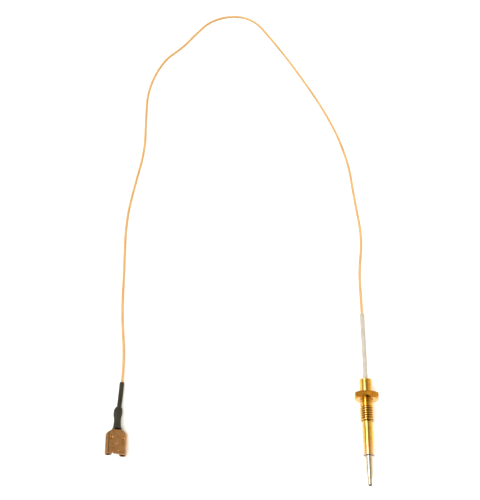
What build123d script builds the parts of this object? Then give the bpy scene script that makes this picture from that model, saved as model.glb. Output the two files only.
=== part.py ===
from build123d import *
import math
import os

# Hob thermocouple: a threaded brass head with a steel-tipped probe, and one insulated lead
# that ends in a female spade receptacle.
#
# Frame: millimetres, +Z up. The origin is on the thread axis, in the plane of the hexagon's
# seat face. The probe points along -Y, the lead leaves along +Y and then lies on the
# surface that the lowest corner of the hexagon rests on.

os.makedirs("parts", exist_ok=True)

# ---- driving dimensions ----------------------------------------------------------------
# Head
hex_flats = 10.0                # across flats
hex_thick = 3.0
hex_seat_r = 4.95               # circle that the 45 degree chamfer leaves on the seat face
hex_rear_r = 4.85               # and that the 30 degree chamfer leaves on the rear face
hex_turn = 4.0                  # degrees; turns the upper corner towards -X
shank_r = 2.75                  # plain locating shank in front of the seat face
shank_end = -3.2                # y where the shank meets the thread relief
relief_end = -3.5
relief_r = 2.45
groove_depth = 0.25
grooves = [(-0.1, -0.35), (-1.0, -1.3)]     # both ends of the two grooves in the shank
thread_r = 2.95                 # M6 x 1
thread_pitch = 1.0
thread_depth = 0.55
thread_end = -9.65
thread_chamfer = 0.45
ferrule_r = 2.7
ferrule_seat = 1.5              # y of the bottom of the recess that holds the ferrule
ferrule_end = 9.2
ferrule_lip = 0.7
ferrule_chamfer = 0.3
head_bore_r = 1.95

# Probe
tube_r = 2.25
tube_end = -23.75
spigot_r = 1.95                 # reduced rear end of the tube, pressed into the head
spigot_length = 4.0
sheath_r = 1.55
sheath_wall = 0.4
sheath_rear = -1.2
taper_start = -30.2
taper_end = -34.5
nose_r = 0.93
nose_end = -35.9
weld_r = 0.8
weld_end = nose_end - weld_r    # the weld bead is half a ball
core_r = 0.45                   # constantan wire
core_sleeve_r = 1.1
ring_r = 2.42
ring_gauge = 0.15
ring_drop = 0.22
gap = 0.01                      # clearance between pieces that are pressed together

# Cold junction, inside the head
splice_front = 0.2
splice_rear = 5.4
splice_r = 1.0
splice_wire_meet = 2.7          # y where the two wires face each other
bush_front = -0.8
bush_rear = 6.2

# Lead
lead_r = 0.6
conductor_r = 0.35
sleeve_r = 0.98
thin_shrink_r = 1.05

# Receptacle, for an 8 mm tab
plate_gauge = 0.45
plate_half_width = 4.75
roll_r = 1.55
roll_start = 2.3                # distances along the receptacle, from its neck to its mouth
mouth = 10.95
tab_gap = 0.85
neck = (-108.0, -16.1, -2.37)   # on the crimp barrel's axis
neck_yaw = 4.5
neck_pitch = 9.0
neck_roll = 24.0
barrel_drop = 1.1               # barrel axis below the plate's outer face

hex_corner_r = hex_flats / 2 / math.cos(math.pi / 6)
floor_z = -hex_corner_r * math.cos(math.radians(hex_turn))
lead_z = floor_z + lead_r       # axis of the lead where it lies on the surface


# ---- shared helpers --------------------------------------------------------------------
def save(part, label):
    """Label a finished piece and write its STEP file."""
    part.label = label
    export_step(part, f"parts/{label}.step")


def corner_radii(points):
    """Largest arc that each corner of a route has room for."""
    radii = []
    for before, corner, after in zip(points, points[1:], points[2:]):
        run_in = Vector(*corner) - Vector(*before)
        run_out = Vector(*after) - Vector(*corner)
        half_turn = math.radians(run_in.get_angle(run_out)) / 2
        radii.append(0.45 * min(run_in.length, run_out.length) / math.tan(half_turn))
    return radii


def midpoint(a, b):
    """Point half way along a run."""
    return tuple((p + q) / 2 for p, q in zip(a, b))


# ---- receptacle frame and lead route ---------------------------------------------------
# Local X is across the receptacle, local Y points back along the lead and local Z is the
# outward normal of the flat plate. The roll turns the plate about the barrel's axis.
receptacle = Plane(Location(neck, (0, 0, neck_yaw)) * Location((0, 0, 0), (-neck_pitch, 0, 0))
                   * Location((0, 0, 0), (0, neck_roll, 0)))


def on_barrel(distance):
    """Point on the barrel's axis, a distance from the neck towards the mouth."""
    return tuple(receptacle.origin - receptacle.y_dir * distance)


insulation_end = -4.6
conductor_end = -1.3
thin_shrink_end = -5.3
last_corner = -15.0

route = [
    (0, splice_rear, 0),
    (0, 20, 0),
    (0.1, 34, -2.4),
    (0.3, 49, -5.0),
    (-0.1, 64, lead_z),
    (2.2, 83, lead_z),
    (-1.1, 106, lead_z),
    (-3.3, 128, lead_z),
    (-12.5, 155, lead_z),
    (-30, 187, lead_z),
    (-45, 210.5, lead_z),
    (-54, 223, lead_z),
    (-66, 226.5, lead_z),
    (-79.5, 222, lead_z),
    (-88.5, 210, lead_z),
    (-94, 201.5, lead_z),
    (-104.5, 191.5, lead_z),
    (-111.3, 171, lead_z),
    (-110.5, 150, lead_z),
    (-109.3, 131, lead_z),
    (-112.8, 108, lead_z),
    (-115, 88, lead_z),
    (-113.2, 62, lead_z),
    (-111.9, 38, lead_z),
    (-108.5, 18, -4.6),
    on_barrel(last_corner),
    on_barrel(insulation_end),
]
route_radii = corner_radii(route)
print("lead radii, mm:", [round(radius, 1) for radius in route_radii])


# ---- head ------------------------------------------------------------------------------
turns_length = relief_end - thread_end + 2 * thread_pitch
groove_root = thread_r - thread_depth
flank_rise = thread_depth * math.tan(math.radians(30))
root_half = thread_pitch / 16
overshoot = 0.1                 # the cutter stands this far outside the crests

with BuildPart() as thread_cutter:
    with BuildLine():
        Helix(thread_pitch, turns_length, thread_r)
    with BuildSketch(Plane.XZ):
        with BuildLine():
            outer_half = root_half + flank_rise * (1 + overshoot / thread_depth)
            Polyline(
                (groove_root, -root_half),
                (thread_r + overshoot, -outer_half),
                (thread_r + overshoot, outer_half),
                (groove_root, root_half),
                close=True,
            )
        make_face()
    sweep(is_frenet=True)

with BuildPart() as thread_blank:
    with BuildSketch(Plane.XY):
        with BuildLine():
            Polyline(
                (0, relief_end),
                (thread_r, relief_end),
                (thread_r, thread_end + thread_chamfer),
                (thread_r - thread_chamfer, thread_end),
                (0, thread_end),
                close=True,
            )
        make_face()
    revolve(axis=Axis.Y)
    with Locations((0, relief_end + thread_pitch / 2, 0)):
        add(thread_cutter.part, rotation=(90, 0, 0), mode=Mode.SUBTRACT)

with BuildPart() as threaded_body:
    with BuildSketch(Plane.XZ):
        RegularPolygon(hex_flats / 2, 6, major_radius=False, rotation=30 + hex_turn)
    extrude(amount=-hex_thick)
    # both faces of the hexagon are chamfered, the seat face more steeply
    with BuildSketch(Plane.XY):
        with BuildLine():
            rear_drop = (hex_corner_r - hex_rear_r) * math.tan(math.radians(30))
            Polyline(
                (0, 0),
                (hex_seat_r, 0),
                (hex_corner_r, hex_corner_r - hex_seat_r),
                (hex_corner_r, hex_thick - rear_drop),
                (hex_rear_r, hex_thick),
                (0, hex_thick),
                close=True,
            )
        make_face()
    revolve(axis=Axis.Y, mode=Mode.INTERSECT)
    # locating shank with its two grooves, then the relief and the thread
    with BuildSketch(Plane.XY):
        with BuildLine():
            Polyline(
                (0, 0),
                (shank_r, 0),
                (shank_r, shank_end + 0.15),
                (shank_r - 0.15, shank_end),
                (relief_r, shank_end),
                (relief_r, relief_end),
                (0, relief_end),
                close=True,
            )
        make_face()
    revolve(axis=Axis.Y)
    for rear, front in grooves:
        with BuildSketch(Plane.XZ.offset(-rear)):
            Circle(shank_r + 0.1)
            Circle(shank_r - groove_depth, mode=Mode.SUBTRACT)
        extrude(amount=rear - front, mode=Mode.SUBTRACT)
    add(thread_blank.part)
    # stepped bore: tube spigot, sheath, cold junction, rear ferrule
    with BuildSketch(Plane.XY):
        with BuildLine():
            Polyline(
                (0, thread_end),
                (spigot_r + gap, thread_end),
                (spigot_r + gap, thread_end + spigot_length),
                (sheath_r + gap, thread_end + spigot_length),
                (sheath_r + gap, sheath_rear - 1.0),
                (head_bore_r, sheath_rear - 1.0),
                (head_bore_r, ferrule_seat),
                (ferrule_r + gap, ferrule_seat),
                (ferrule_r + gap, hex_thick),
                (0, hex_thick),
                close=True,
            )
        make_face()
    revolve(axis=Axis.Y, mode=Mode.SUBTRACT)
save(threaded_body.part, "threaded_body")

with BuildPart() as rear_ferrule:
    with BuildSketch(Plane.XY):
        with BuildLine():
            Polyline(
                (head_bore_r, ferrule_seat),
                (ferrule_r, ferrule_seat),
                (ferrule_r, ferrule_end - ferrule_chamfer),
                (ferrule_r - ferrule_chamfer, ferrule_end),
                (sleeve_r + 0.02, ferrule_end),
                (sleeve_r + 0.02, ferrule_end - ferrule_lip),
                (head_bore_r, ferrule_end - ferrule_lip),
                close=True,
            )
        make_face()
    revolve(axis=Axis.Y)
save(rear_ferrule.part, "rear_ferrule")

with BuildPart() as sheath_braze:
    with BuildSketch(Plane.XY):
        with BuildLine():
            Polyline(
                (sheath_r + gap, sheath_rear - 1.0),
                (head_bore_r - gap, sheath_rear - 1.0),
                (head_bore_r - gap, sheath_rear - 0.7),
                (sheath_r + gap, sheath_rear - 0.35),
                close=True,
            )
        make_face()
    revolve(axis=Axis.Y)
save(sheath_braze.part, "sheath_braze")

# ---- probe -----------------------------------------------------------------------------
with BuildPart() as support_tube:
    with BuildSketch(Plane.XY):
        with BuildLine():
            Polyline(
                (sheath_r + gap, tube_end),
                (tube_r, tube_end),
                (tube_r, thread_end),
                (spigot_r, thread_end),
                (spigot_r, thread_end + spigot_length),
                (sheath_r + gap, thread_end + spigot_length),
                close=True,
            )
        make_face()
    revolve(axis=Axis.Y)
save(support_tube.part, "support_tube")

# pressed steel ring with a skirt, over the tip, against the mouth of the tube
with BuildPart() as mouth_ring:
    with BuildSketch(Plane.XY):
        with BuildLine():
            Polyline(
                (sheath_r + gap, tube_end),
                (tube_r + 0.05, tube_end),
                (ring_r, tube_end - ring_drop),
                (ring_r - 0.1, tube_end - ring_drop - 0.1),
                (tube_r - 0.05, tube_end - ring_gauge),
                (sheath_r + gap, tube_end - ring_gauge),
                close=True,
            )
        make_face()
    revolve(axis=Axis.Y)
save(mouth_ring.part, "mouth_ring")

sheath_bore_r = sheath_r - sheath_wall
nose_bore_r = core_r + 0.1
with BuildPart() as tip_sheath:
    with BuildSketch(Plane.XY):
        with BuildLine():
            Polyline(
                (sheath_bore_r, sheath_rear),
                (sheath_r, sheath_rear),
                (sheath_r, taper_start),
                (nose_r, taper_end),
                (nose_r, nose_end),
                (nose_bore_r, nose_end),
                (nose_bore_r, taper_end),
                (sheath_bore_r, taper_start),
                close=True,
            )
        make_face()
    revolve(axis=Axis.Y)
save(tip_sheath.part, "tip_sheath")

# the weld closes the nose and joins it to the core wire: this is the hot junction
weld_plug_end = nose_end + 0.6
with BuildPart() as tip_weld:
    with BuildSketch(Plane.XY):
        with BuildLine():
            Polyline(
                (0, weld_end),
                (0, weld_plug_end),
                (core_r, weld_plug_end),
                (core_r, nose_end),
                (weld_r, nose_end),
            )
            CenterArc((0, nose_end), weld_r, -90, 90)
        make_face()
    revolve(axis=Axis.Y)
save(tip_weld.part, "tip_weld")

with BuildPart() as core_wire:
    with BuildSketch(Plane.XZ.offset(-splice_wire_meet)):
        Circle(core_r)
    extrude(amount=splice_wire_meet - weld_plug_end)
save(core_wire.part, "core_wire")

with BuildPart() as core_sleeve:
    with BuildSketch(Plane.XZ.offset(-bush_front)):
        Circle(core_sleeve_r)
        Circle(core_r + gap, mode=Mode.SUBTRACT)
    extrude(amount=bush_front - taper_start - 0.2)
save(core_sleeve.part, "core_sleeve")

# ---- cold junction ---------------------------------------------------------------------
crimp_dent = 0.25
with BuildPart() as splice_ferrule:
    with BuildSketch(Plane.XY):
        with BuildLine():
            Polyline(
                (core_r + gap, splice_front),
                (splice_r, splice_front),
                (splice_r, splice_rear),
                (conductor_r + gap, splice_rear),
                (conductor_r + gap, splice_wire_meet),
                (core_r + gap, splice_wire_meet),
                close=True,
            )
        make_face()
    revolve(axis=Axis.Y)
    # one crimp dent on each half, on opposite sides
    with Locations((0, 1.45, splice_r), (0, 4.05, -splice_r)):
        Box(2 * splice_r, 1.1, 2 * crimp_dent, mode=Mode.SUBTRACT)
save(splice_ferrule.part, "splice_ferrule")

with BuildPart() as insulating_bush:
    with BuildSketch(Plane.XZ.offset(-bush_rear)):
        Circle(head_bore_r - gap)
        Circle(splice_r + gap, mode=Mode.SUBTRACT)
    extrude(amount=bush_rear - splice_front)
    with BuildSketch(Plane.XZ.offset(-splice_front)):
        Circle(head_bore_r - gap)
        Circle(core_r + gap, mode=Mode.SUBTRACT)
    extrude(amount=splice_front - bush_front)
save(insulating_bush.part, "insulating_bush")

with BuildPart() as end_potting:
    with BuildSketch(Plane.XZ.offset(-(ferrule_end - ferrule_lip))):
        Circle(head_bore_r - gap)
        Circle(sleeve_r + 0.02, mode=Mode.SUBTRACT)
    extrude(amount=ferrule_end - ferrule_lip - bush_rear)
save(end_potting.part, "end_potting")

# ---- lead ------------------------------------------------------------------------------
sleeve_front = bush_rear + 0.1
sleeve_rear = midpoint(route[2], route[3])

with BuildPart() as lead_insulation:
    with BuildLine():
        FilletPolyline(*route, radius=route_radii)
    with BuildSketch(Plane(origin=route[0], z_dir=(0, 1, 0))):
        Circle(lead_r)
        Circle(conductor_r + gap, mode=Mode.SUBTRACT)
    sweep()
save(lead_insulation.part, "lead_insulation")

conductor_route = [(0, splice_wire_meet, 0), *route[1:-1], on_barrel(conductor_end)]
with BuildPart() as lead_conductor:
    with BuildLine():
        FilletPolyline(*conductor_route, radius=route_radii)
    with BuildSketch(Plane(origin=conductor_route[0], z_dir=(0, 1, 0))):
        Circle(conductor_r)
    sweep()
save(lead_conductor.part, "lead_conductor")

with BuildPart() as white_sleeve:
    with BuildLine():
        FilletPolyline((0, sleeve_front, 0), *route[1:3], sleeve_rear, radius=route_radii[:2])
    with BuildSketch(Plane(origin=(0, sleeve_front, 0), z_dir=(0, 1, 0))):
        Circle(sleeve_r)
        Circle(lead_r + gap, mode=Mode.SUBTRACT)
    sweep()
save(white_sleeve.part, "white_sleeve")

thin_shrink_start = midpoint(route[-3], route[-2])
thin_shrink_run = Vector(*route[-2]) - Vector(*thin_shrink_start)
with BuildPart() as thin_heatshrink:
    with BuildLine():
        FilletPolyline(
            thin_shrink_start, route[-2], on_barrel(thin_shrink_end), radius=route_radii[-1:]
        )
    with BuildSketch(Plane(origin=thin_shrink_start, z_dir=thin_shrink_run)):
        Circle(thin_shrink_r)
        Circle(lead_r + gap, mode=Mode.SUBTRACT)
    sweep()
save(thin_heatshrink.part, "thin_heatshrink")

# ---- wide heat-shrink, turned about the barrel's axis -----------------------------------
# Outline points are (radius, distance from the neck towards the lead).
barrel_bore_r = 1.34
grip_bore_r = 1.4
barrel_plane = Plane(receptacle.origin, x_dir=receptacle.x_dir, z_dir=receptacle.z_dir)
with BuildPart() as wide_heatshrink:
    with BuildSketch(barrel_plane):
        with BuildLine():
            Line((thin_shrink_r + 0.02, 10.4), (1.2, 10.4))
            Spline(
                (1.2, 10.4),
                (1.74, 9.6),
                (1.92, 8.4),
                (1.82, 6.6),
                (1.63, 4.8),
                (1.6, 3.5),
                (1.8, 1.7),
                (2.22, 0.15),
            )
            Polyline(
                (2.22, 0.15),
                (2.1, 0.15),
                (1.55, 1.7),
                (barrel_bore_r, 3.2),
                (barrel_bore_r, 4.9),
                (grip_bore_r, 5.1),
                (grip_bore_r, 8.9),
                (thin_shrink_r + 0.02, 9.2),
                (thin_shrink_r + 0.02, 10.4),
            )
        make_face()
    revolve(axis=Axis(receptacle.origin, receptacle.y_dir))
save(wide_heatshrink.part, "wide_heatshrink")

# ---- receptacle ------------------------------------------------------------------------
# One stamping: flat plate, two rolled wings, a wire crimp and an insulation crimp.
plate_plane = receptacle.offset(barrel_drop)
strip_half = 0.7
neck_half = 1.7                 # where the plate leaves the heat-shrink
notch = 0.45
shoulder = [(2.25, -0.25), (3.4, -1.1), (4.4, -1.8), (plate_half_width, -roll_start)]
wing_start = 0.9                # the wings are rolled from here on and cut along the shoulder
wire_crimp = (1.4, 3.9)         # distances from the neck towards the lead
wire_crimp_r = 0.95
grip_crimp = (5.2, 8.6)
grip_crimp_r = 1.36
roll_centre = plate_half_width - roll_r
lip_rise = roll_r - plate_gauge - tab_gap
lip_angle = math.degrees(math.asin(lip_rise / (roll_r - plate_gauge / 2)))
dimple_r = 0.7                  # two pressed dimples, which stop the tab
dimple_depth = 0.36
dimple_places = [(-2.6, -3.95), (2.6, -3.95)]
bump_r = 0.42                   # small raised bump on the plate's middle line
bump_rise = 0.18
bump_along = -6.55
arch_r = 0.68                   # raised arch over the lead-in, at the middle of the mouth
arch_wire_r = 0.25


def cap(across, along, level, side, radius, rise, root):
    """Low spherical cap over a face of the plate: side 1 points outward and -1 inward."""
    centre = plate_plane.from_local_coords((across, along, level))
    profile_plane = Plane(centre, x_dir=plate_plane.x_dir, z_dir=plate_plane.y_dir * -side)
    ball_r = (radius**2 + rise**2) / (2 * rise)
    rim_angle = math.degrees(math.asin((ball_r - rise) / ball_r))
    with BuildPart() as ball_cap:
        with BuildSketch(profile_plane):
            with BuildLine():
                Polyline((0, rise), (0, -root), (radius, -root), (radius, 0))
                CenterArc((0, rise - ball_r), ball_r, rim_angle, 90 - rim_angle)
            make_face()
        revolve(axis=Axis(centre, plate_plane.z_dir))
    return ball_cap.part


dimple_backs = [
    cap(across, along, -plate_gauge, -1, dimple_r + 0.15, dimple_depth, plate_gauge / 2)
    for across, along in dimple_places
]
dimple_hollows = [
    cap(across, along, 0, -1, dimple_r, dimple_depth, 0.05) for across, along in dimple_places
]
bump = cap(0, bump_along, 0, 1, bump_r, bump_rise, plate_gauge / 2)

with BuildPart() as terminal:
    with BuildSketch(plate_plane):
        with BuildLine():
            Polyline(
                (-strip_half, 8.6),
                (-strip_half, 2.4),
                (-neck_half, 0.15),
                (-shoulder[0][0], shoulder[0][1]),
                (-roll_centre, -wing_start),
                (-roll_centre, -mouth),
                (-roll_centre + roll_r - 0.2, -mouth),
                (-roll_centre + roll_r + 0.15, -mouth + notch),
                (-roll_centre + roll_r + 0.5, -mouth),
                (roll_centre - roll_r - 0.5, -mouth),
                (roll_centre - roll_r - 0.15, -mouth + notch),
                (roll_centre - roll_r + 0.2, -mouth),
                (roll_centre, -mouth),
                (roll_centre, -wing_start),
                shoulder[0],
                (neck_half, 0.15),
                (strip_half, 2.4),
                (strip_half, 8.6),
                close=True,
            )
        make_face()
    extrude(amount=-plate_gauge)
    # rolled wings: each is a strip bent round until its lip faces the plate
    wing_plane = Plane(
        plate_plane.from_local_coords((0, -wing_start, 0)),
        x_dir=plate_plane.x_dir,
        z_dir=-plate_plane.y_dir,
    )
    with BuildSketch(wing_plane):
        for side in (1, -1):
            with BuildLine():
                lip = math.radians(180 - lip_angle)
                outer_lip = (
                    side * (roll_centre + roll_r * math.cos(lip)),
                    -roll_r + roll_r * math.sin(lip),
                )
                inner_r = roll_r - plate_gauge
                inner_lip = (
                    side * (roll_centre + inner_r * math.cos(lip)),
                    -roll_r + inner_r * math.sin(lip),
                )
                turn = math.radians(-45)
                ThreePointArc(
                    (side * roll_centre, 0),
                    (
                        side * (roll_centre + roll_r * math.cos(turn)),
                        -roll_r + roll_r * math.sin(turn),
                    ),
                    outer_lip,
                )
                Line(outer_lip, inner_lip)
                ThreePointArc(
                    inner_lip,
                    (
                        side * (roll_centre + inner_r * math.cos(turn)),
                        -roll_r + inner_r * math.sin(turn),
                    ),
                    (side * roll_centre, -plate_gauge),
                )
                Line((side * roll_centre, -plate_gauge), (side * roll_centre, 0))
            make_face()
    extrude(amount=mouth - wing_start)
    # the blank's sloping shoulders run on round the wings
    with BuildSketch(plate_plane.offset(0.2)):
        for side in (1, -1):
            with BuildLine():
                Polyline(
                    *[(side * across, along) for across, along in shoulder],
                    (side * (plate_half_width + 0.5), -roll_start),
                    (side * (plate_half_width + 0.5), shoulder[0][1]),
                    close=True,
                )
            make_face()
    extrude(amount=-2 * roll_r - 0.4, mode=Mode.SUBTRACT)
    # crimps: closed rings round the lead, fused with the strip that joins them to the plate
    for (start, end), outer_r, inner_r in (
        (wire_crimp, wire_crimp_r, conductor_r + gap),
        (grip_crimp, grip_crimp_r, thin_shrink_r + gap),
    ):
        with BuildSketch(Plane(on_barrel(-start), x_dir=receptacle.x_dir, z_dir=receptacle.y_dir)):
            Circle(outer_r)
        extrude(amount=end - start)
        with BuildSketch(Plane(on_barrel(-start), x_dir=receptacle.x_dir, z_dir=receptacle.y_dir)):
            Circle(inner_r)
        extrude(amount=end - start, mode=Mode.SUBTRACT)
    add(dimple_backs)
    add(dimple_hollows, mode=Mode.SUBTRACT)
    add(bump)
    arch_centre = plate_plane.from_local_coords((0, -mouth + 1.15, 0))
    with BuildLine(Plane(arch_centre, x_dir=plate_plane.x_dir, z_dir=plate_plane.z_dir)):
        arch = CenterArc((0, 0), arch_r, 15, 150)
    with BuildSketch(Plane(arch @ 0, z_dir=arch % 0)):
        Circle(arch_wire_r)
    sweep()
save(terminal.part, "terminal")
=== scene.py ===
import math

import bpy
from mathutils import Matrix, Vector, noise


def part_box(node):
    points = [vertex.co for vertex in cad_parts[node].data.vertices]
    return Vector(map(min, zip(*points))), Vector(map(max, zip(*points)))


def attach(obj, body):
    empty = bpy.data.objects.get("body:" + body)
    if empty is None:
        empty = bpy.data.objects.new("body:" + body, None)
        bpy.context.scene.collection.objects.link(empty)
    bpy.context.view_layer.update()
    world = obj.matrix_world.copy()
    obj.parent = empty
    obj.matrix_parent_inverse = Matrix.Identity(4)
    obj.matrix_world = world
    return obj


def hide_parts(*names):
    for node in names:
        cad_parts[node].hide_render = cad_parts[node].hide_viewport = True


# A hob thermocouple on a pale floor: brass head and steel-tipped probe, one orange lead in a
# loose arch, and a spade receptacle with two black heat-shrinks. Metres, in the CAD's frame.

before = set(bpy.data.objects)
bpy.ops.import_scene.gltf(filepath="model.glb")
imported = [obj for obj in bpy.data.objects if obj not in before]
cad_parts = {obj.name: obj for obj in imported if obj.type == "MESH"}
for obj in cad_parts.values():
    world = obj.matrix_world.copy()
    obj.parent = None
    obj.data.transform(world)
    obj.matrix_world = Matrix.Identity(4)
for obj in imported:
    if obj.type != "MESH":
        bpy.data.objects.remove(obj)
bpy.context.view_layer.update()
scene = bpy.context.scene

MM = 0.001

# ---- sizes shared with the CAD model ----------------------------------------------------
FLOOR_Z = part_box("threaded_body")[0].z
LEAD_R = 0.6 * MM
CONDUCTOR_R = 0.35 * MM
LEAD_Z = FLOOR_Z + LEAD_R
INSULATION_BORE_R = CONDUCTOR_R * 1.03
OVER_LEAD_R = LEAD_R * 1.05          # bore of what is drawn over the lead
SLEEVE_R = 0.98 * MM
THIN_SHRINK_R = 1.05 * MM
NECK = Vector((-108.0, -16.1, -2.37)) * MM
NECK_YAW = math.radians(4.5)
NECK_PITCH = math.radians(9.0)
NECK_ROLL = math.radians(24.0)

BARREL = (
    Matrix.Translation(NECK)
    @ Matrix.Rotation(NECK_YAW, 4, "Z")
    @ Matrix.Rotation(-NECK_PITCH, 4, "X")
    @ Matrix.Rotation(NECK_ROLL, 4, "Y")
)


def on_barrel(distance):
    """Point on the crimp barrel's axis, a distance in mm from the neck towards the mouth."""
    return tuple(BARREL @ Vector((0, -distance * MM, 0)))


# ---- camera -----------------------------------------------------------------------------
VIEW_TILT = math.radians(27.0)      # off the vertical
VIEW_HEADING = math.radians(1.84)
VIEW_DISTANCE = 0.3725
VIEW_CENTRE = Vector((-0.0577, 0.0746, FLOOR_Z))
LENS = 54.83                        # on a 36 mm high picture

camera_data = bpy.data.cameras.new("camera")
camera_data.lens = LENS
camera_data.sensor_width = 36.0
camera_data.clip_start = 0.01
camera_data.clip_end = 20.0
camera = bpy.data.objects.new("camera", camera_data)
camera.rotation_euler = (VIEW_TILT, 0, VIEW_HEADING)
camera.location = VIEW_CENTRE + camera.rotation_euler.to_matrix() @ Vector((0, 0, VIEW_DISTANCE))
scene.collection.objects.link(camera)
scene.camera = camera

# ---- lead route -------------------------------------------------------------------------
ROUTE = [
    (0, 0.0054, 0),
    (0, 0.020, 0),
    (0.0001, 0.034, -0.0024),
    (0.0003, 0.049, -0.0050),
    (-0.0001, 0.064, LEAD_Z),
    (0.0022, 0.083, LEAD_Z),
    (-0.0011, 0.106, LEAD_Z),
    (-0.0033, 0.128, LEAD_Z),
    (-0.0125, 0.155, LEAD_Z),
    (-0.030, 0.187, LEAD_Z),
    (-0.045, 0.2105, LEAD_Z),
    (-0.054, 0.223, LEAD_Z),
    (-0.066, 0.2265, LEAD_Z),
    (-0.0795, 0.222, LEAD_Z),
    (-0.0885, 0.210, LEAD_Z),
    (-0.094, 0.2015, LEAD_Z),
    (-0.1045, 0.1915, LEAD_Z),
    (-0.1113, 0.171, LEAD_Z),
    (-0.1105, 0.150, LEAD_Z),
    (-0.1093, 0.131, LEAD_Z),
    (-0.1128, 0.108, LEAD_Z),
    (-0.115, 0.088, LEAD_Z),
    (-0.1132, 0.062, LEAD_Z),
    (-0.1119, 0.038, LEAD_Z),
    (-0.1085, 0.018, -0.0046),
    (-0.1083, -0.001, -0.00465),
    on_barrel(-4.6),
]


def route_line(points):
    """Smooth line of a NURBS spline that has these control points."""
    data = bpy.data.curves.new("route", "CURVE")
    data.dimensions = "3D"
    data.resolution_u = 60
    spline = data.splines.new("NURBS")
    spline.points.add(len(points) - 1)
    for control, point in zip(spline.points, points):
        control.co = (*point, 1)
    spline.order_u = 3
    spline.use_endpoint_u = True
    holder = bpy.data.objects.new("route", data)
    mesh = bpy.data.meshes.new_from_object(holder)
    line = [vertex.co.copy() for vertex in mesh.vertices]
    bpy.data.meshes.remove(mesh)
    bpy.data.objects.remove(holder)
    bpy.data.curves.remove(data)
    return line


def lengths_along(line):
    """Distance of each point of a line from its start."""
    reached = [0.0]
    for before, after in zip(line, line[1:]):
        reached.append(reached[-1] + (after - before).length)
    return reached


def stretch(line, start, end, step):
    """Points at an even spacing of about step, from one distance along a line to another."""
    reached = lengths_along(line)
    count = max(2, round((end - start) / step))
    points, at = [], 0
    for i in range(count + 1):
        wanted = min(start + (end - start) * i / count, reached[-1])
        while at < len(reached) - 2 and reached[at + 1] < wanted:
            at += 1
        share = (wanted - reached[at]) / (reached[at + 1] - reached[at])
        points.append(line[at].lerp(line[at + 1], share))
    return points


def frames_along(points):
    """A pair of directions across the line at each point, carried along without twisting."""
    tangents = []
    for i in range(len(points)):
        before, after = points[max(i - 1, 0)], points[min(i + 1, len(points) - 1)]
        tangents.append((after - before).normalized())
    side = tangents[0].orthogonal().normalized()
    frames = []
    for tangent in tangents:
        side = (side - tangent * side.dot(tangent)).normalized()
        frames.append((side, tangent.cross(side)))
    return frames


def ring_points(centre, across, radius_at, segments):
    """One ring of points; radius_at gives the radius for an angle."""
    points = []
    for i in range(segments):
        angle = 2 * math.pi * i / segments
        offset = across[0] * math.cos(angle) + across[1] * math.sin(angle)
        points.append(centre + offset * radius_at(angle))
    return points


def tube_mesh(name, points, outer, inner, segments, inner_every=1):
    """A closed tube with a bore. outer(i, angle) and inner(i) are radii at point i."""
    frames = frames_along(points)
    vertices, rings = [], []

    def add_ring(i, radius_at):
        rings.append(len(vertices))
        vertices.extend(ring_points(points[i], frames[i], radius_at, segments))

    last = len(points) - 1
    for i in range(last + 1):
        add_ring(i, lambda angle, i=i: outer(i, angle))
    back = sorted({0, last, *range(0, last, inner_every)}, reverse=True)
    for i in back:
        add_ring(i, lambda angle, i=i: inner(i))
    faces = []
    for ring, following in zip(rings, rings[1:] + rings[:1]):
        for k in range(segments):
            n = (k + 1) % segments
            faces.append((ring + k, ring + n, following + n, following + k))
    mesh = bpy.data.meshes.new(name)
    mesh.from_pydata(vertices, [], faces)
    mesh.validate()
    for polygon in mesh.polygons:
        polygon.use_smooth = True
    mesh.set_sharp_from_angle(angle=math.radians(50))
    piece = bpy.data.objects.new(name, mesh)
    scene.collection.objects.link(piece)
    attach(piece, "root")
    return piece


def eased_end(distance, rounding):
    """0 at a cut end, 1 once a rounding's length away from it, along a quarter circle."""
    if distance >= rounding:
        return 1.0
    return math.sqrt(max(0.0, 1 - (1 - distance / rounding) ** 2))


LINE = route_line(ROUTE)
LEAD_LENGTH = lengths_along(LINE)[-1]

# ---- orange lead: the twisted strands show faintly through the insulation -----------------
LEAD_STEP = 0.32 * MM
LEAD_SEGMENTS = 24
STRAND_LAY = 9.0 * MM               # length in which the strands turn once
STRANDS = 6

lead_points = stretch(LINE, 0, LEAD_LENGTH, LEAD_STEP)
lead_spacing = LEAD_LENGTH / (len(lead_points) - 1)


def lead_radius(i, angle):
    """Faint helical ribs and a little unevenness along the lead."""
    along = i * lead_spacing
    ribs = math.cos(STRANDS * (angle - 2 * math.pi * along / STRAND_LAY))
    uneven = noise.noise(Vector((along / (6 * MM), 0, 4.2)))
    return LEAD_R * (0.985 + 0.022 * ribs + 0.02 * uneven)


lead = tube_mesh(
    "lead", lead_points, lead_radius, lambda i: INSULATION_BORE_R, LEAD_SEGMENTS, 12
)
lay = lead.data.attributes.new("lay", "FLOAT", "POINT")
for i in range(len(lead_points)):
    for k in range(LEAD_SEGMENTS):
        angle = 2 * math.pi * k / LEAD_SEGMENTS
        turns = angle / (2 * math.pi) - i * lead_spacing / STRAND_LAY
        lay.data[i * LEAD_SEGMENTS + k].value = 0.5 + 0.5 * math.cos(2 * math.pi * STRANDS * turns)
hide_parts("lead_insulation")

# ---- conductor inside it, with a bore too fine to be seen -------------------------------
CONDUCTOR_STEP = 1.0 * MM
CONDUCTOR_BORE_R = CONDUCTOR_R * 0.1

conductor_line = route_line([(0, 0.0027, 0), *ROUTE[1:-1], on_barrel(-1.3)])
conductor_length = lengths_along(conductor_line)[-1]
conductor_points = stretch(conductor_line, 0, conductor_length, CONDUCTOR_STEP)
conductor = tube_mesh(
    "conductor", conductor_points, lambda i, angle: CONDUCTOR_R, lambda i: CONDUCTOR_BORE_R, 12, 4
)
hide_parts("lead_conductor")

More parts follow.
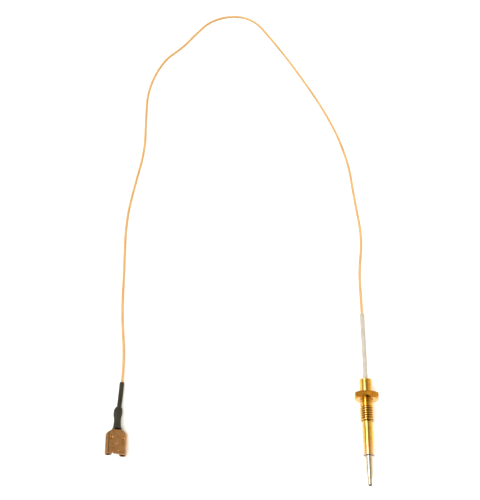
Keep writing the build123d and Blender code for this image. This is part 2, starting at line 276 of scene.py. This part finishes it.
# ---- off-white sleeve -------------------------------------------------------------------
SLEEVE_START = 0.9 * MM             # along the lead
SLEEVE_END = 36.5 * MM
SLEEVE_STEP = 0.25 * MM
SLEEVE_ROUNDING = 0.3 * MM          # of the cut edge
FRAYED_REACH = 1.2 * MM

sleeve_points = stretch(LINE, SLEEVE_START, SLEEVE_END, SLEEVE_STEP)


def sleeve_radius(i, angle):
    """A soft sleeve with slow unevenness and a slightly frayed free end."""
    along = i * SLEEVE_STEP
    from_end = (SLEEVE_END - SLEEVE_START) - along
    uneven = noise.noise(Vector((along / (4 * MM), math.cos(angle), math.sin(angle))))
    frayed = 0.03 * math.exp(-from_end / FRAYED_REACH)
    rounding = 0.9 + 0.1 * eased_end(from_end, SLEEVE_ROUNDING)
    return SLEEVE_R * (0.985 + 0.02 * uneven + frayed) * rounding


sleeve = tube_mesh("sleeve", sleeve_points, sleeve_radius, lambda i: OVER_LEAD_R, 24)
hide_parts("white_sleeve")

# ---- narrow heat-shrink -------------------------------------------------------------------
THIN_STEP = 0.2 * MM
THIN_LENGTH = 16.7 * MM             # visible length and what the wide one covers
THIN_ROUNDING = 0.25 * MM
BARE_END = 0.7 * MM                 # of the lead, past the heat-shrink
thin_end = LEAD_LENGTH - BARE_END
thin_points = stretch(LINE, thin_end - THIN_LENGTH, thin_end, THIN_STEP)


def thin_radius(i, angle):
    """Shrunk tightly, with shallow creases and a rounded cut edge."""
    along = i * THIN_STEP
    around = Vector((math.cos(angle), math.sin(angle), 0)) * 0.9
    creases = noise.noise(around + Vector((0, 0, along / (1.1 * MM))))
    slow = noise.noise(Vector((along / (5 * MM), 7.5, 0)))
    rounding = 0.9 + 0.1 * eased_end(along, THIN_ROUNDING)
    return THIN_SHRINK_R * (0.965 + 0.02 * creases + 0.03 * slow) * rounding


thin_shrink = tube_mesh("thin_shrink", thin_points, thin_radius, lambda i: OVER_LEAD_R, 28)
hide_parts("thin_heatshrink")

# ---- wide heat-shrink ---------------------------------------------------------------------
# (distance along it from its mouth, radius), mm
WIDE_OUTLINE = [
    (0, 2.26),
    (0.5, 2.1),
    (1.1, 1.82),
    (2.1, 1.63),
    (4.0, 1.56),
    (5.3, 1.6),
    (6.0, 1.76),
    (6.7, 1.92),
    (8.7, 1.94),
    (9.5, 1.82),
    (10.1, 1.5),
    (10.4, 1.16),
]
WIDE_ROUTE = [
    on_barrel(-0.12),
    on_barrel(-4.0),
    on_barrel(-8.2),
    (-0.10845, -0.0063, -0.0040),
    (-0.10840, -0.0046, -0.0042),
]
WIDE_STEP = 0.1 * MM
WIDE_ROUNDING = 0.2                 # mm
WIDE_WALL = 0.3                     # mm


def on_outline(outline, at):
    """Radius on an outline, straight between its points and level past its end."""
    for (a, radius_a), (b, radius_b) in zip(outline, outline[1:]):
        if at <= b:
            share = max(0.0, (at - a) / (b - a))
            return radius_a + (radius_b - radius_a) * share
    return outline[-1][1]


def smooth_outline(outline, at, reach=0.35):
    """The outline's radius, averaged over a short reach so that no corner shows."""
    samples = [on_outline(outline, at + reach * k / 4) for k in range(-4, 5)]
    return sum(samples) / len(samples)


wide_length = WIDE_OUTLINE[-1][0]
wide_points = stretch(route_line(WIDE_ROUTE), 0, wide_length * MM, WIDE_STEP)
wide_spacing = wide_length / (len(wide_points) - 1)


def wide_radius(i, angle):
    """The crimps' imprint, creases and lumps round the body, and a rounded edge at the mouth."""
    at = i * wide_spacing
    around = Vector((math.cos(angle), math.sin(angle), 0))
    creases = noise.noise(around * 1.3 + Vector((0, 0, at / 0.7)))
    lumps = noise.noise(around * 0.8 + Vector((5, 0, at / 2.4)))
    edge = eased_end(at, WIDE_ROUNDING)
    radius = smooth_outline(WIDE_OUTLINE, at) * (0.975 + 0.014 * creases + 0.03 * lumps)
    return radius * MM * (0.94 + 0.06 * edge)


def wide_bore(i):
    """Bore over the narrow heat-shrink and the crimps, opening towards the mouth."""
    at = i * wide_spacing
    return max(THIN_SHRINK_R / MM, smooth_outline(WIDE_OUTLINE, at) - WIDE_WALL) * MM


wide_shrink = tube_mesh("wide_shrink", wide_points, wide_radius, wide_bore, 48)
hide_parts("wide_heatshrink")


# ---- where the finishes and the painted shade change: each pair is the start and the end of a change ---
CREST_RADII = (2.8 * MM, 2.95 * MM)             # thread and seat face, rubbed from here out
ROOT_SHADE_RADII = (2.45 * MM, 2.76 * MM)             # painted shade in the roots and grooves fades out
SKIN_AND_SHADE_RADII = (4.93 * MM, 4.98 * MM)             # bar skin on the hexagon's flats, and painted shade on its chamfers
SEAT_Y = (0.03 * MM, 0.1 * MM)                  # behind the seat face nothing is rubbed
ROOT_SHADE_Y = (-0.08 * MM, 0.0)                    # painted root shade only in front of the seat face
HEAT_Y = (-16.5 * MM, -22.5 * MM)               # tint of the tube towards its mouth
NOSE_Y = (-33.5 * MM, -36.5 * MM)               # browner nose
RECEPTACLE_MOUTH_Y = (-26.2 * MM, -25.6 * MM)   # duller edges at the mouth


# ---- materials --------------------------------------------------------------------------
class Shader:
    """A new material with its nodes, and short ways to add and join them."""

    def __init__(self, name):
        self.material = bpy.data.materials.new(name)
        self.material.use_nodes = True
        self.nodes = self.material.node_tree.nodes
        self.links = self.material.node_tree.links
        self.surface = self.nodes["Principled BSDF"]
        coordinates = self.nodes.new("ShaderNodeTexCoord")
        self.place = coordinates.outputs["Object"]

    def link(self, output, target):
        self.links.new(output, target)

    def fixed(self, **values):
        """Sets the surface shader's own sockets."""
        for name, value in values.items():
            self.surface.inputs[name.replace("_", " ")].default_value = value

    def drive(self, **outputs):
        """Joins outputs to the surface shader's sockets."""
        for name, output in outputs.items():
            self.link(output, self.surface.inputs[name.replace("_", " ")])

    def stretched(self, scale):
        """Object coordinates, scaled along each axis."""
        node = self.nodes.new("ShaderNodeMapping")
        node.inputs["Scale"].default_value = scale
        self.link(self.place, node.inputs["Vector"])
        return node.outputs["Vector"]

    def noise(self, scale, detail=4.0, roughness=0.55, vector=None):
        """Noise of about 0 to 1, with its scale in waves per metre."""
        node = self.nodes.new("ShaderNodeTexNoise")
        node.inputs["Scale"].default_value = scale
        node.inputs["Detail"].default_value = detail
        node.inputs["Roughness"].default_value = roughness
        self.link(vector or self.place, node.inputs["Vector"])
        return node.outputs["Fac"]

    def ramp(self, value, stops):
        """Colour ramp; stops are (position, colour)."""
        node = self.nodes.new("ShaderNodeValToRGB")
        elements = node.color_ramp.elements
        while len(elements) < len(stops):
            elements.new(0.5)
        for element, (position, colour) in zip(elements, stops):
            element.position = position
            element.color = (*colour, 1.0)
        self.link(value, node.inputs["Fac"])
        return node.outputs["Color"]

    def range(self, value, low, high, start=0.0, end=1.0):
        """A value from start..end turned into low..high."""
        node = self.nodes.new("ShaderNodeMapRange")
        node.inputs["From Min"].default_value = start
        node.inputs["From Max"].default_value = end
        node.inputs["To Min"].default_value = low
        node.inputs["To Max"].default_value = high
        self.link(value, node.inputs["Value"])
        return node.outputs["Result"]

    def maths(self, operation, a, b):
        node = self.nodes.new("ShaderNodeMath")
        node.operation = operation
        for socket, value in zip(node.inputs, (a, b)):
            if isinstance(value, float):
                socket.default_value = value
            else:
                self.link(value, socket)
        return node.outputs["Value"]

    def mix(self, factor, a, b):
        """Colour a where the factor is 0 and b where it is 1."""
        node = self.nodes.new("ShaderNodeMix")
        node.data_type = "RGBA"
        for socket, value in zip((node.inputs[0], node.inputs[6], node.inputs[7]), (factor, a, b)):
            if isinstance(value, float):
                socket.default_value = value
            elif isinstance(value, tuple):
                socket.default_value = (*value, 1.0)
            else:
                self.link(value, socket)
        return node.outputs[2]

    def axis(self, name):
        """One object coordinate, in metres."""
        split = self.nodes.new("ShaderNodeSeparateXYZ")
        self.link(self.place, split.inputs["Vector"])
        return split.outputs[name]

    def radius(self):
        """Distance from the thread's axis, in metres."""
        flat = self.nodes.new("ShaderNodeVectorMath")
        flat.operation = "LENGTH"
        self.link(self.stretched((1.0, 0.0, 1.0)), flat.inputs[0])
        return flat.outputs["Value"]

    def worn_edges(self, reach):
        """About 0 on flat and gently curved faces and 1 on a sharp edge."""
        rounded = self.nodes.new("ShaderNodeBevel")
        rounded.inputs["Radius"].default_value = reach
        plain = self.nodes.new("ShaderNodeNewGeometry")
        dot = self.nodes.new("ShaderNodeVectorMath")
        dot.operation = "DOT_PRODUCT"
        self.link(rounded.outputs["Normal"], dot.inputs[0])
        self.link(plain.outputs["Normal"], dot.inputs[1])
        return self.range(dot.outputs["Value"], 0.0, 1.0, 0.99, 0.88)

    def sheltered(self, reach):
        """0 on open faces and near 1 inside the piece's own hollows."""
        open_sky = self.nodes.new("ShaderNodeAmbientOcclusion")
        open_sky.samples = 8
        open_sky.only_local = True
        open_sky.inputs["Distance"].default_value = reach
        return self.range(open_sky.outputs["AO"], 1.0, 0.0, 0.45, 0.85)

    def bump(self, height, strength, distance, onto=None):
        """Tilts the surface by a height, on top of another bump where one is given."""
        node = self.nodes.new("ShaderNodeBump")
        node.inputs["Strength"].default_value = strength
        node.inputs["Distance"].default_value = distance
        self.link(height, node.inputs["Height"])
        if onto is not None:
            self.link(onto, node.inputs["Normal"])
        self.link(node.outputs["Normal"], self.surface.inputs["Normal"])
        return node.outputs["Normal"]


def turned_brass(name, dull, clean, tint=None):
    """Turned brass: tool marks round the axis, faint stains, and rubbed edges."""
    shader = Shader(name)
    shader.fixed(Metallic=1.0)
    marks = shader.noise(900, 3.0, 0.6, shader.stretched((0.05, 6.0, 0.05)))
    stains = shader.noise(420, 5.0, 0.6)
    metal = shader.ramp(stains, [(0.38, dull), (0.6, clean)])
    if tint:
        metal = tint(shader, metal)
    metal = shader.mix(shader.worn_edges(0.1 * MM), metal, (0.88, 0.56, 0.18))
    shader.drive(Base_Color=metal, Roughness=shader.range(stains, 0.22, 0.10, 0.3, 0.7))
    coarse = shader.bump(marks, 0.3, 0.03 * MM)
    shader.bump(shader.noise(2200, 4.0), 0.12, 0.015 * MM, coarse)
    return shader


def head_wear_and_shade(shader, metal):
    """Clean seat face and crests, brown bar skin on the flats with the same brown painted on the
    chamfers as shade, and painted shade darkening the roots and grooves.
    """
    radius = shader.radius()
    rubbed = shader.maths(
        "MULTIPLY",
        shader.range(radius, 0.0, 1.0, *CREST_RADII),
        shader.range(shader.axis("Y"), 1.0, 0.0, *SEAT_Y),
    )
    metal = shader.mix(rubbed, metal, (0.82, 0.53, 0.11))
    # the bar skin's brown also covers the hexagon's chamfers, where it is painted shade
    skin_and_chamfer_shade = shader.range(radius, 0.0, 0.9, *SKIN_AND_SHADE_RADII)
    patches = shader.noise(900, 5.0, 0.65)
    brown = shader.ramp(patches, [(0.35, (0.36, 0.145, 0.012)), (0.65, (0.70, 0.31, 0.03))])
    metal = shader.mix(skin_and_chamfer_shade, metal, brown)
    # painted shade: the thread roots and the grooves in front of the seat face are darkened to
    # near-black brown
    root_shade = shader.range(radius, 0.9, 0.0, *ROOT_SHADE_RADII)
    front_of_seat = shader.range(shader.axis("Y"), 1.0, 0.0, *ROOT_SHADE_Y)
    return shader.mix(shader.maths("MULTIPLY", root_shade, front_of_seat), metal, (0.10, 0.036, 0.005))


def flame_tint(shader, metal):
    """Pinkish tint towards the mouth of the tube, from the flame's heat."""
    wander = shader.range(shader.noise(300, 3.0), -1.2 * MM, 1.2 * MM)
    along = shader.maths("ADD", shader.axis("Y"), wander)
    heat = shader.range(along, 0.0, 1.0, *HEAT_Y)
    return shader.mix(heat, metal, (0.84, 0.50, 0.26))


def drawn_metal(name, low, high, rough, line_scale=1400):
    """Drawn tube or wire: fine lines along the axis, slight stains."""
    shader = Shader(name)
    shader.fixed(Metallic=1.0)
    lines = shader.noise(line_scale, 3.0, 0.6, shader.stretched((1.0, 0.04, 1.0)))
    stains = shader.noise(380, 4.0)
    metal = shader.ramp(stains, [(0.35, low), (0.65, high)])
    shader.drive(Base_Color=metal, Roughness=shader.range(stains, *rough))
    shader.bump(lines, 0.2, 0.02 * MM)
    return shader


def flame_steel():
    """Steel of the tip: champagne-coloured, browner towards the nose."""
    shader = drawn_metal("tip_steel", (0.54, 0.47, 0.35), (0.68, 0.61, 0.48), (0.14, 0.24))
    metal = shader.surface.inputs["Base Color"].links[0].from_socket
    nose = shader.range(shader.axis("Y"), 0.0, 0.8, *NOSE_Y)
    shader.drive(Base_Color=shader.mix(nose, metal, (0.40, 0.34, 0.25)))
    return shader


def soft_coat(name, low, high, rough, scale, strength, depth, specular=0.5):
    """Plastic, cement or fibre: slow colour change and a fine grain."""
    shader = Shader(name)
    shader.fixed(Specular_IOR_Level=specular)
    grain = shader.noise(scale, 5.0)
    slow = shader.noise(scale / 6, 3.0)
    colour = shader.ramp(slow, [(0.35, low), (0.65, high)])
    shader.drive(Base_Color=colour, Roughness=shader.range(grain, *rough))
    shader.bump(grain, strength, depth)
    return shader


def lead_orange():
    """Orange-tan insulation with the strands' lay showing through as faint slanted bands."""
    shader = Shader("lead_orange")
    shader.fixed(Specular_IOR_Level=0.35)
    lay = shader.nodes.new("ShaderNodeAttribute")
    lay.attribute_name = "lay"
    speckle = shader.noise(1500, 4.0)
    slow = shader.noise(160, 3.0)
    base = shader.ramp(slow, [(0.35, (0.46, 0.245, 0.08)), (0.65, (0.53, 0.30, 0.11))])
    banded = shader.mix(shader.range(lay.outputs["Fac"], 0.0, 0.45), base, (0.63, 0.42, 0.20))
    scuffed = shader.mix(shader.range(speckle, 0.0, 0.5, 0.55, 0.8), banded, (0.70, 0.50, 0.28))
    shader.drive(Base_Color=scuffed, Roughness=shader.range(speckle, 0.42, 0.6))
    shader.bump(speckle, 0.3, 0.04 * MM)
    return shader


def rolled_bronze():
    """Rolled copper alloy: grain, tarnish, scratches, bright edges, and a painted reddish inner
    reflection in the hollows.
    """
    shader = Shader("bronze")
    shader.fixed(Metallic=1.0)
    grain = shader.noise(1300, 4.0, 0.6, shader.stretched((1.0, 0.1, 1.0)))
    tarnish = shader.noise(520, 5.0, 0.6)
    base = shader.ramp(tarnish, [(0.35, (0.34, 0.17, 0.065)), (0.65, (0.46, 0.255, 0.12))])
    scratched = shader.mix(shader.range(grain, 0.0, 0.35, 0.5, 0.8), base, (0.60, 0.39, 0.20))
    away_from_mouth = shader.range(shader.axis("Y"), 0.25, 1.0, *RECEPTACLE_MOUTH_Y)
    worn = shader.maths("MULTIPLY", shader.worn_edges(0.14 * MM), away_from_mouth)
    edged = shader.mix(worn, scratched, (0.80, 0.52, 0.26))
    # painted inner reflection: a deep reddish tint wherever the piece shades itself, inside its
    # rolls
    edged = shader.mix(shader.sheltered(3 * MM), edged, (0.64, 0.24, 0.06))
    shader.drive(Base_Color=edged, Roughness=shader.range(tarnish, 0.16, 0.26))
    shader.bump(grain, 0.15, 0.015 * MM)
    return shader


BRASS = turned_brass("brass", (0.66, 0.34, 0.05), (0.78, 0.44, 0.09))
HEAD_BRASS = turned_brass("head_brass", (0.58, 0.27, 0.025), (0.76, 0.42, 0.06), head_wear_and_shade)
TUBE_BRASS = turned_brass("tube_brass", (0.68, 0.40, 0.065), (0.77, 0.49, 0.10), flame_tint)
STEEL = flame_steel()
RING_STEEL = drawn_metal("ring_steel", (0.30, 0.28, 0.25), (0.48, 0.45, 0.40), (0.3, 0.45))
WELD = soft_coat(
    "weld", (0.035, 0.03, 0.025), (0.13, 0.11, 0.085), (0.35, 0.6), 2500, 0.6, 0.05 * MM
)
CONSTANTAN = drawn_metal("constantan", (0.50, 0.46, 0.42), (0.62, 0.58, 0.53), (0.25, 0.4))
COPPER = drawn_metal("copper", (0.62, 0.30, 0.18), (0.76, 0.42, 0.28), (0.2, 0.35))
BRAZE = drawn_metal("braze", (0.55, 0.48, 0.30), (0.70, 0.62, 0.42), (0.25, 0.4), 700)
FIBRE = soft_coat(
    "fibre", (0.78, 0.75, 0.68), (0.88, 0.86, 0.80), (0.6, 0.85), 2500, 0.5, 0.06 * MM
)
PTFE = soft_coat(
    "ptfe", (0.86, 0.86, 0.84), (0.92, 0.92, 0.90), (0.35, 0.5), 900, 0.15, 0.02 * MM
)
CEMENT = soft_coat(
    "cement", (0.72, 0.69, 0.62), (0.84, 0.81, 0.75), (0.7, 0.9), 1800, 0.5, 0.05 * MM
)
SLEEVE = soft_coat(
    "sleeve", (0.38, 0.345, 0.30), (0.45, 0.415, 0.365), (0.5, 0.7), 1600, 0.35, 0.04 * MM, 0.3
)
SHRINK = soft_coat(
    "shrink", (0.017, 0.016, 0.009), (0.029, 0.027, 0.017), (0.50, 0.70), 900, 0.3, 0.05 * MM, 0.2
)
LEAD = lead_orange()
BRONZE = rolled_bronze()

FINISHES = {
    "threaded_body": HEAD_BRASS,
    "rear_ferrule": BRASS,
    "support_tube": TUBE_BRASS,
    "mouth_ring": RING_STEEL,
    "tip_sheath": STEEL,
    "tip_weld": WELD,
    "core_wire": CONSTANTAN,
    "core_sleeve": FIBRE,
    "sheath_braze": BRAZE,
    "splice_ferrule": COPPER,
    "insulating_bush": PTFE,
    "end_potting": CEMENT,
    "terminal": BRONZE,
}
for node, shader in FINISHES.items():
    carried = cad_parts[node]
    carried.data.materials.clear()
    carried.data.materials.append(shader.material)

DRAWN_FINISHES = [
    (lead, LEAD),
    (conductor, COPPER),
    (sleeve, SLEEVE),
    (thin_shrink, SHRINK),
    (wide_shrink, SHRINK),
]
for piece, shader in DRAWN_FINISHES:
    piece.data.materials.append(shader.material)

# ---- floor and light --------------------------------------------------------------------
FLOOR_HALF = 4.0
KEY_DISTANCE = 1.6
KEY_SIZE = 1.4
KEY_POWER = 26
floor_mesh = bpy.data.meshes.new("floor")
floor_mesh.from_pydata(
    [
        (-FLOOR_HALF, -FLOOR_HALF, FLOOR_Z),
        (FLOOR_HALF, -FLOOR_HALF, FLOOR_Z),
        (FLOOR_HALF, FLOOR_HALF, FLOOR_Z),
        (-FLOOR_HALF, FLOOR_HALF, FLOOR_Z),
    ],
    [],
    [(0, 1, 2, 3)],
)
floor = bpy.data.objects.new("floor", floor_mesh)
scene.collection.objects.link(floor)
floor_shader = Shader("floor")
floor_shader.fixed(Base_Color=(0.95, 0.95, 0.95, 1), Roughness=0.9, Specular_IOR_Level=0.1)
floor_mesh.materials.append(floor_shader.material)


# The key light stands behind the camera, so that the shadows fall out of sight. It is a large
# softbox that lights dull surfaces and leaves no mark in the metal.
towards_camera = camera.rotation_euler.to_matrix() @ Vector((0, 0, 1))
key_data = bpy.data.lights.new("key", "AREA")
key_data.shape = "SQUARE"
key_data.size = KEY_SIZE
key_data.energy = KEY_POWER
key = bpy.data.objects.new("key", key_data)
key.location = VIEW_CENTRE + KEY_DISTANCE * towards_camera
key.rotation_euler = (-towards_camera).to_track_quat("-Z", "Y").to_euler()
key.visible_glossy = False
scene.collection.objects.link(key)

# What the metal mirrors, by the angle from the zenith towards +X: (degrees, brightness, warmth).
SURROUNDINGS = [
    (-90, 0.70, 0.3),
    (-62, 0.68, 0.4),
    (-44, 0.74, 0.3),
    (-20, 0.72, 0.3),
    (-10, 0.54, 0.4),
    (2, 0.37, 0.6),
    (16, 0.37, 0.9),
    (38, 0.82, 0.8),
    (64, 1.05, 0.8),
    (90, 1.10, 0.3),
]
# A bright strip light hangs along the probe, left of the zenith.
STRIP = [
    (-90, 0.0, 0.0),
    (-46, 0.0, 0.0),
    (-40, 8.5, 0.0),
    (-31, 8.5, 0.0),
    (-25, 2.0, 0.2),
    (-12, 0.0, 0.5),
    (90, 0.0, 0.0),
]

# Parts of a direction along the axes: each pair is the start and the end of a change.
STRIP_ENDS = (0.37, 0.28)           # the strip light's ends, along the probe
SEAM_ENDS = (0.75, 0.95)            # where the angle's seam would show on the horizon
SEAM_RISE = 0.5
UNLIT_FRONT = (-0.62, -0.78)        # the room is unlit low down, in front of the probe
UNLIT_SIDES = (0.75, 0.5)
UNLIT_SHARE = 0.92

world = bpy.data.worlds.new("studio")
world.use_nodes = True
sky = world.node_tree


def sky_node(kind, *sources):
    """A node of the world, with its inputs joined to outputs or set to numbers, in order."""
    node = sky.nodes.new(kind)
    for socket, source in zip(node.inputs, sources):
        if isinstance(source, (int, float)):
            socket.default_value = source
        else:
            sky.links.new(source, socket)
    return node


def sky_maths(operation, *sources):
    """One sum, product or the like of outputs and numbers."""
    node = sky_node("ShaderNodeMath", *sources)
    node.operation = operation
    return node.outputs["Value"]


def sky_glow(spread, profile):
    """Colour ramp over the profile's angles, scaled to the brightest of them."""
    brightest = max(brightness for _, brightness, _ in profile)
    node = sky_node("ShaderNodeValToRGB", spread)
    stops = node.color_ramp.elements
    while len(stops) < len(profile):
        stops.new(0.5)
    for stop, (angle, brightness, warmth) in zip(stops, profile):
        grey = brightness / brightest
        stop.position = (angle + 90) / 180
        stop.color = (grey, grey * (1 - 0.15 * warmth), grey * (1 - 0.4 * warmth), 1)
    return node.outputs["Color"], brightest


def sky_fade(value, start, end):
    """0 at start and 1 at end, level beyond them."""
    return sky_node("ShaderNodeMapRange", value, start, end, 0.0, 1.0).outputs["Result"]


around = sky.nodes.new("ShaderNodeTexCoord")
x, y, z = sky_node("ShaderNodeSeparateXYZ", around.outputs["Generated"]).outputs
along = sky_maths("ABSOLUTE", y)
across = sky_maths("ABSOLUTE", x)
# Close to the axis the angle is taken over a raised level, so that its seam is spread out.
rise = sky_maths("MULTIPLY", SEAM_RISE, sky_fade(along, *SEAM_ENDS))
angle = sky_maths("ARCTAN2", x, sky_maths("ADD", z, rise))
spread = sky_fade(angle, math.radians(-90), math.radians(90))

base, base_strength = sky_glow(spread, SURROUNDINGS)
strip, strip_strength = sky_glow(spread, STRIP)
unlit = sky_maths("MULTIPLY", sky_fade(y, *UNLIT_FRONT), sky_fade(across, *UNLIT_SIDES))
lit = sky_maths("SUBTRACT", 1.0, sky_maths("MULTIPLY", unlit, UNLIT_SHARE))
base_level = sky_maths("MULTIPLY", lit, base_strength)
strip_level = sky_maths("MULTIPLY", sky_fade(along, *STRIP_ENDS), strip_strength)
first = sky.nodes["Background"]
second = sky.nodes.new("ShaderNodeBackground")
both = sky.nodes.new("ShaderNodeAddShader")
sky.links.new(base, first.inputs["Color"])
sky.links.new(base_level, first.inputs["Strength"])
sky.links.new(strip, second.inputs["Color"])
sky.links.new(strip_level, second.inputs["Strength"])
sky.links.new(first.outputs[0], both.inputs[0])
sky.links.new(second.outputs[0], both.inputs[1])
sky.links.new(both.outputs[0], sky.nodes["World Output"].inputs["Surface"])
scene.world = world
scene.view_settings.view_transform = "Standard"
